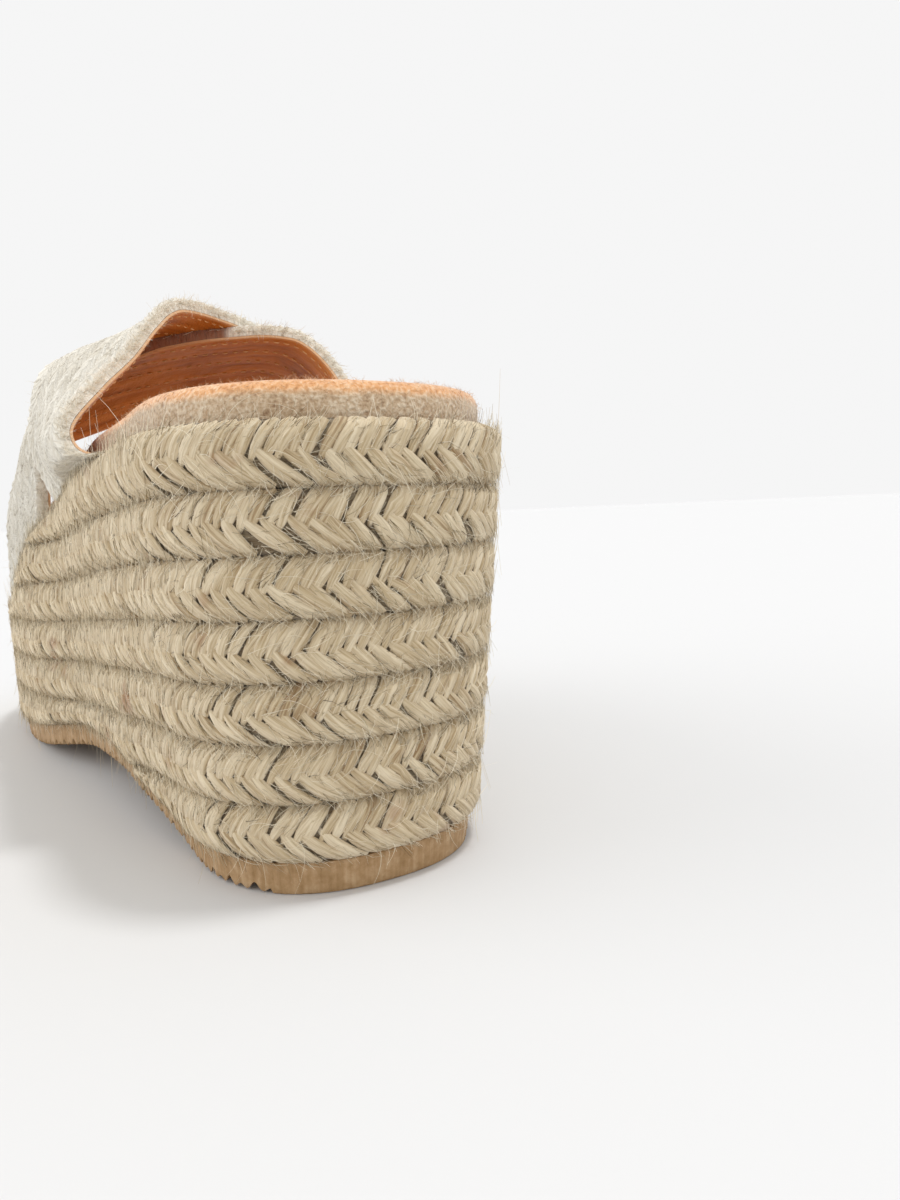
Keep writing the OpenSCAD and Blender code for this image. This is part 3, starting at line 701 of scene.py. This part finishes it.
strapNames = {-1: "top_strap", 1: "under_strap"}


def strapY(side, u, v):
    along = u if side < 0 else 1 - u
    rear, wide = strap["rear"][side], strap["width"][side]
    return (rear + (strap["front"] - rear) * along + strap["bow"] * np.sin(np.pi * u) * (1 - v)
            + (wide + (strap["frontWidth"] - wide) * along) * v)


def strapBed(side, u, v):
    y = strapY(side, u, v)
    z = topZ(y)
    inset = strap["bedInset"] + taperIn(y, z)
    a, b = edgeX(y, inset, -1 + 0 * y), edgeX(y, inset, 1 + 0 * y)
    t = smooth((y - strap["changeY"][0]) / (strap["changeY"][1] - strap["changeY"][0]))
    knots = np.linspace(0, 1, len(strap["ballX"]))
    across = (curve(np.stack([knots, strap["instepX"]], 1), u) * (1 - t)
              + curve(np.stack([knots, strap["ballX"]], 1), u) * t)
    high = (curve(np.stack([knots, strap["instepZ"]], 1), u) * (1 - t)
            + curve(np.stack([knots, strap["ballZ"]], 1), u) * t)
    return np.stack([(a + b) / 2 + across * (b - a) / 2, y, z + strap["clear"] + strap["height"] * high], -1)


def strapPoint(side, u, v, out):
    e = 0.012
    ahead = strapBed(side, np.minimum(u + e, 1), v) - strapBed(side, np.maximum(u - e, 0), v)
    normal = np.cross(ahead, strapBed(side, u, v + e) - strapBed(side, u, v - e))
    normal = normal / np.linalg.norm(normal, axis=-1, keepdims=True)
    lift = 0 if side > 0 else strapLift * smooth(u / strap["ramp"]) * smooth((1 - u) / strap["ramp"])
    p = strapBed(side, u, v) + normal * (lift + out)[..., None]
    p[..., 2] = np.maximum(p[..., 2], topZ(p[..., 1]) + strap["clear"] + 0.1 * np.minimum(out, 0))
    return p


def strapGrid(side, uCount, vCount):
    u, v = np.meshgrid(np.linspace(0, 1, uCount), np.linspace(0, 1, vCount), indexing="ij")
    p = strapPoint(side, u, v, 0 * u)
    stepU, stepV = (np.linalg.norm(np.diff(p, axis=axis), axis=2) for axis in (0, 1))
    along = np.concatenate([np.zeros((1, vCount)), np.cumsum(stepU, axis=0)])
    across = np.concatenate([np.zeros((uCount, 1)), np.cumsum(stepV, axis=1)], 1)
    return u, v, along, across


def thereAndBack(grid):
    # a value on one face of a strap, and on the other face in the opposite order
    return np.concatenate([grid, grid[:, ::-1]], 1)


def plaitRelief(along, across, wide, count):
    # height, random tone and painted shade in the hollows of narrow plaits that lie side by side along the
    # strap
    cell = across / np.maximum(wide, 1e-6) * count
    index = np.clip(np.floor(cell), 0, count - 1)
    c = (cell - index) * 2 - 1
    half = wide / count / 2
    lean = half / math.tan(math.radians(strap["strandLean"]))
    phase = (along + np.abs(c) * lean) / strap["strandPitch"] + index * 0.37 + np.where(c > 0, 0.5, 0)
    strand = np.floor(phase)
    crest = np.abs(np.sin(np.pi * (phase - strand))) ** 0.7
    middle = smooth(np.abs(c) / 0.16)
    relief = 0.6 * crest * middle + 0.4 * (1 - np.abs(c) ** 3) - 0.4
    shade = np.sin(strand * 12.9898 + index * 78.233 + np.where(c > 0, 37.7, 0)) * 43758.5453
    shade = shade - np.floor(shade)
    uvAlong = along * 0.7 + strand * 5.3
    uvAcross = (phase - strand) * strap["strandPitch"] * 0.7 + strand * 3.1
    return relief, 0.25 + 0.5 * shade, crest * middle * (1 - np.abs(c) ** 8), np.stack([uvAlong, uvAcross], -1)


def coverShare(u, v):
    # how far the under strap lies beneath the top one, where its rear edge gets a painted brown shade
    y = strapY(1, u, v)
    return smooth((y - strapY(-1, u, 0 * v)) / 3) * smooth((strapY(-1, u, 0 * v + 1) - y) / 3)


def makeStrapJute(side):
    shape = newShape()
    u, v, along, across = strapGrid(side, *strap["juteGrid"])
    wide = across[:, -1:]
    count = int(round(strap["width"][side] / strap["plait"]))
    relief, tone, depth, uv = plaitRelief(along, across, wide, count)
    rim = np.minimum(across, wide - across)
    rope = 0.75 + 0.4 * np.abs(np.sin(np.pi * (along / 3.0 + rim / 2.4)))     # its edge is laid like rope
    bead = np.exp(-((rim - 0.9) / 1.0) ** 2) * rope
    tuckIn = smooth(rim / 0.6)
    ends = smooth(np.minimum(u, 1 - u) / 0.012)
    under = strapThick - strap["weave"]
    top = strapThick + (relief + 0.75 * bead * ends) * tuckIn - 0.9 * (1 - tuckIn)
    low = under - (under - strap["lining"] - 0.08) * (1 - smooth((rim - 1.5) / 1.5))      # rolled over the tape
    points = np.concatenate([strapPoint(side, u, v, low), strapPoint(side, u, v, top)[:, ::-1]], 1)[None]
    # painted shade: depth is low in the hollows between plaits, which darkens them; the rope edge is kept out
    # of it and given a paler tone
    tone = np.clip(tone + 0.35 * bead, 0, 1)
    depth = np.clip(depth + 0.6 * bead + 0.25, 0, 1)
    # painted shade: the under strap's rear edge is tinted dark brown where the top strap lies over it
    underShade = 0.85 * coverShare(u, v) * (1 - smooth((across - 2.2) / 2)) * (side > 0)
    addTubes(shape, points, thereAndBack(uv)[None], tone=thereAndBack(tone)[None],
             depth=thereAndBack(depth)[None], underShade=thereAndBack(underShade)[None])
    for key, edge in (("face", None), ("rearEdge", 0.0), ("frontEdge", 1.0)):
        addStrapFibres(shape, side, strap[key], edge)
    name = strapNames[side]
    finishShape(shape, name + "_plaits", [strapJute, strapFibre], [name + "_jute"])


def addStrapFibres(shape, side, number, edge):
    # edge is 0 at the rear edge, 1 at the front one and None on the strap's face
    u = rng.uniform(0.01, 0.99, number)
    v = rng.uniform(0, 1, number) if edge is None else np.full(number, edge) + rng.normal(0, 0.004, number)
    high = strapThick + (0 * u if edge is None else rng.uniform(-1.3, 0.4, number))
    if edge == 0.0 and side > 0:      # no pale fringe on the part of the edge with the painted brown shade
        clear = coverShare(u, v) < 0.2
        u, v, high = u[clear], v[clear], high[clear]
        number = len(u)
    start = strapPoint(side, u, v, high)
    lift = strapPoint(side, u, v, high + 1) - start
    lift = lift / np.maximum(np.linalg.norm(lift, axis=1, keepdims=True), 1e-6)
    ahead = strapPoint(side, np.minimum(u + 0.01, 1), v, high) - start
    ahead = ahead / np.maximum(np.linalg.norm(ahead, axis=1, keepdims=True), 1e-6)
    beside = np.cross(lift, ahead)
    slant = rng.normal(0, 0.9, number)[:, None]
    heading = ahead * np.cos(slant) + beside * np.sin(slant)
    if edge is not None:      # these stand out sideways, away from the strap
        away = strapPoint(side, u, v + 0.02, high) - start
        lift = beside * (1 if edge else -1) * np.sign(np.sum(beside * away, 1, keepdims=True))
        heading = ahead * np.cos(slant) + np.cross(lift, ahead) * np.sin(slant) + lift * 0.25
        start = start + lift * 0.05
    addFibres(shape, start, heading, lift, rng.uniform(0.8, 2.8, number), rng.uniform(0.035, 0.06, number),
              rng.uniform(0, 1, number), curl=0.4, rises=(0.0, 0.3), steps=4)


def makeStrapLining(side):
    shape = newShape()
    u, v, along, across = strapGrid(side, *strap["liningGrid"])
    wide = across[:, -1:]
    rim = np.minimum(across, wide - across)
    wrinkle = np.sin(along * 0.55 + 2.1 * np.sin(across * 0.21))
    wrinkle = 0.16 * wrinkle * np.sin(across * 0.33 + 0.4 * np.sin(along * 0.3))
    wrinkle = wrinkle * smooth(rim / 4) * smooth(np.minimum(u, 1 - u) / 0.1)
    low = -np.abs(wrinkle) + 0.25 * smooth(1 - rim / 0.5)
    high = np.full_like(u, strap["lining"])
    skin = np.concatenate([strapPoint(side, u, v, low), strapPoint(side, u, v, high)[:, ::-1]], 1)
    # at each foot the lining is folded inwards and lies flat under the insole board
    vAll = np.concatenate([v[0], v[0][::-1]])
    under = np.concatenate([np.zeros(len(v[0])), np.ones(len(v[0]))])
    rows = []
    for end, inwards in ((0.0, 1), (1.0, -1)):
        edge = strapBed(side, np.full(len(vAll), end), vAll)
        height = topZ(edge[:, 1]) + np.where(under > 0, strap["turnIn"], strap["turnIn"] + strap["lining"])
        deepX = edge[:, 0] + inwards * strap["margin"]
        foldX = edge[:, 0] - inwards * under * strap["lining"]
        rows.append([np.stack([x, edge[:, 1], height], -1)[None] for x in (deepX, foldX)])
    (deep0, fold0), (deep1, fold1) = rows
    points = np.concatenate([deep0, fold0, skin[1:-1], fold1, deep1])[None]
    uv = thereAndBack(np.stack([along, across], -1))
    pale = thereAndBack(smooth(1 - rim / 0.7))
    uv, pale = (np.concatenate([grid[:1], grid, grid[-1:]])[None] for grid in (uv, pale))
    addTubes(shape, points, uv, depth=pale)
    name = strapNames[side]
    finishShape(shape, name + "_leather", [lining], [name + "_lining"])


def makeStrapTape(side):
    shape = newShape()
    u, v = strapGrid(side, *strap["tapeGrid"])[:2]
    v = 0.06 + 0.88 * v
    low = np.full_like(u, strap["lining"] + strap["gap"])
    high = strapPoint(side, u, v, low + strap["tape"])
    addTubes(shape, np.concatenate([strapPoint(side, u, v, low), high[:, ::-1]], 1)[None])
    name = strapNames[side]
    finishShape(shape, name + "_cotton_tape", [cottonTape], [name + "_tape"])


def makeStitching(side):
    # rows of stitches along the strap, each a short piece of thread that dips into the leather at its ends
    shape = newShape()
    wide = strap["width"][side]
    rows = int((wide - 2 * strap["stitchMargin"]) // strap["stitchRow"]) + 1
    for r in range(rows):
        v = (strap["stitchMargin"] + r * strap["stitchRow"]) / wide
        fine = np.linspace(*strap["stitchEnds"], 1200)
        p = strapPoint(side, fine, v + 0 * fine, 0 * fine)
        length = np.concatenate([[0], np.cumsum(np.linalg.norm(np.diff(p, axis=0), axis=1))])
        start = np.arange(0, length[-1] - strap["stitch"], strap["stitch"] + strap["stitchGap"])
        t = np.linspace(0, 1, 6)
        u = np.interp(start[:, None] + t * strap["stitch"], length, fine)[:, :, None]
        dip = (0.06 - 0.22 * np.sin(np.pi * t) ** 0.6)[None, :, None]
        thin = (0.08 + 0.16 * np.sin(np.pi * t) ** 0.5)[None, :, None]
        turn = np.arange(6) * np.pi / 3
        u, across, out = np.broadcast_arrays(u, v + thin * np.cos(turn) / wide, dip + thin * np.sin(turn) * 0.7)
        addTubes(shape, strapPoint(side, u, across, out), tone=rng.uniform(0, 1, len(start)))
    name = strapNames[side]
    finishShape(shape, name + "_stitches", [thread], [name + "_stitching"])


# plain-woven cotton: nearly white and quite matt, seen only from the side between lining and jute
cottonTape = speckledMaterial("Woven cotton tape", ["#D8D1C2", "#E8E2D4", "#F2EEE4"], 1200, 0.9, 0.0002)
for side in (1, -1):
    makeStrapLining(side)
    makeStrapTape(side)
    makeStrapJute(side)
    makeStitching(side)
print("straps made")

# the eye is in millimetres from the back of the heel, on the sandal's centre line; the angles are in degrees
camera = {"eye": (-64.1, -122.7, 65.2), "turn": -30.75, "dip": 5.99, "tilt": -2.47, "lens": 25.5, "sensor": 36}
# a sun's turn is counted from the camera's right hand, and 90 is behind the camera
studio = {
    "floorRadius": 40, "floor": "#D6D6D6", "sky": "#FFFFFF", "skyStrength": 0.92,
    "suns": [{"name": "soft_key", "turn": 5, "height": 76, "power": 1.27, "softness": 8},
             {"name": "left_fill", "turn": 180, "height": 20, "power": 1.0, "softness": 60}],
}


def makeStudio():
    bpy.ops.mesh.primitive_circle_add(vertices=96, radius=1, fill_type="NGON", location=(0, 0, 0))
    floor = bpy.context.active_object
    floor.name = "studio_floor"
    bpy.ops.object.mode_set(mode="EDIT")
    bpy.ops.mesh.select_mode(type="EDGE")
    bpy.ops.mesh.select_all(action="SELECT")
    bpy.ops.mesh.extrude_edges_move(TRANSFORM_OT_translate={"value": (0, 0, 0)})
    bpy.ops.transform.resize(value=(studio["floorRadius"], studio["floorRadius"], 1))
    bpy.ops.object.mode_set(mode="OBJECT")
    pale, tree = newMaterial("Painted studio floor")     # matt paint: an even pale grey with no gloss
    closeMaterial(tree, {"Base Color": linear(studio["floor"]), "Roughness": 0.95, "Specular IOR Level": 0.1})
    floor.data.materials.append(pale)
    floor.select_set(False)
    world = bpy.data.worlds.new("studio")
    world.use_nodes = True
    background = world.node_tree.nodes["Background"].inputs
    background["Color"].default_value = linear(studio["sky"])
    background["Strength"].default_value = studio["skyStrength"]
    bpy.context.scene.world = world
    bpy.context.scene.view_settings.view_transform = "Standard"
    for sun in studio["suns"]:
        bpy.ops.object.light_add(type="SUN", location=(0, 0, 1.4))
        light = bpy.context.active_object
        light.name = sun["name"]
        light.data.energy = sun["power"]
        light.data.angle = math.radians(sun["softness"])
        toLight = (Matrix.Rotation(math.radians(camera["turn"] - sun["turn"]), 3, "Z")
                   @ Matrix.Rotation(math.radians(-sun["height"]), 3, "Y"))
        light.rotation_euler = toLight.col[0].to_track_quat("Z", "Y").to_euler()
        light.select_set(False)


def makeCamera():
    eye = np.array(camera["eye"]) + frameShift
    turn = (Matrix.Rotation(math.radians(camera["turn"]), 3, "Z")
            @ Matrix.Rotation(math.radians(90 - camera["dip"]), 3, "X")
            @ Matrix.Rotation(math.radians(camera["tilt"]), 3, "Z"))
    bpy.ops.object.camera_add(location=tuple(eye / 1000), rotation=turn.to_euler())
    made = bpy.context.active_object
    made.data.lens = camera["lens"]
    made.data.sensor_width = camera["sensor"]
    made.data.clip_start = 0.01
    bpy.context.scene.camera = made


makeStudio()
makeCamera()
print("studio and camera made")
